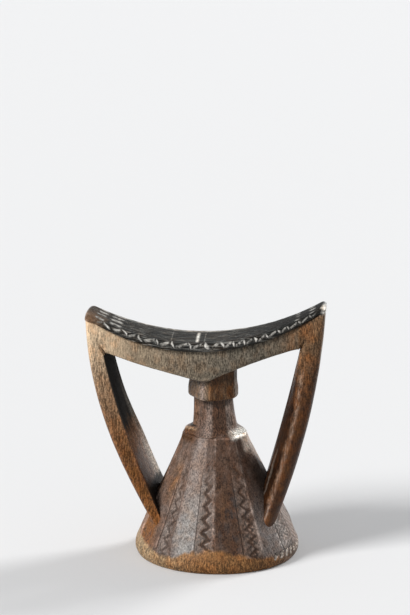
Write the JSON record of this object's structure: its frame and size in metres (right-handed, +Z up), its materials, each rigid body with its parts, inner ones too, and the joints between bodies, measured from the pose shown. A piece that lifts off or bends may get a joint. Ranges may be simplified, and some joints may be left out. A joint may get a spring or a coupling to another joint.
{
  "type": "wooden headrest",
  "caption": "Carved wooden headrest: a curved dark saddle on a slim beam, a necked conical foot and two bowed side struts.",
  "frame": {"origin": "on the ground, under the middle of the whole outline", "axes": "+Z up, X along the saddle with the higher tip on +X, Y across the saddle, carved face on -Y"},
  "size_m": [0.163, 0.114, 0.1761],
  "materials": {
    "saddle_wood": "blackened and polished by use",
    "beam_wood": "worn, fine upright grain",
    "strut_wood": "polished by handling",
    "collar_wood": "worn facets",
    "neck_wood": "worn facets",
    "skirt_wood": "dark, low polish, chip carved",
    "foot_wood": "bare worn wood"
  },
  "bodies": {
    "root": {"saddle": "saddle_wood", "beam": "beam_wood", "left_strut": "strut_wood", "right_strut": "strut_wood", "collar": "collar_wood", "neck": "neck_wood", "skirt": "skirt_wood", "foot": "foot_wood"}
  },
  "joints": []
}
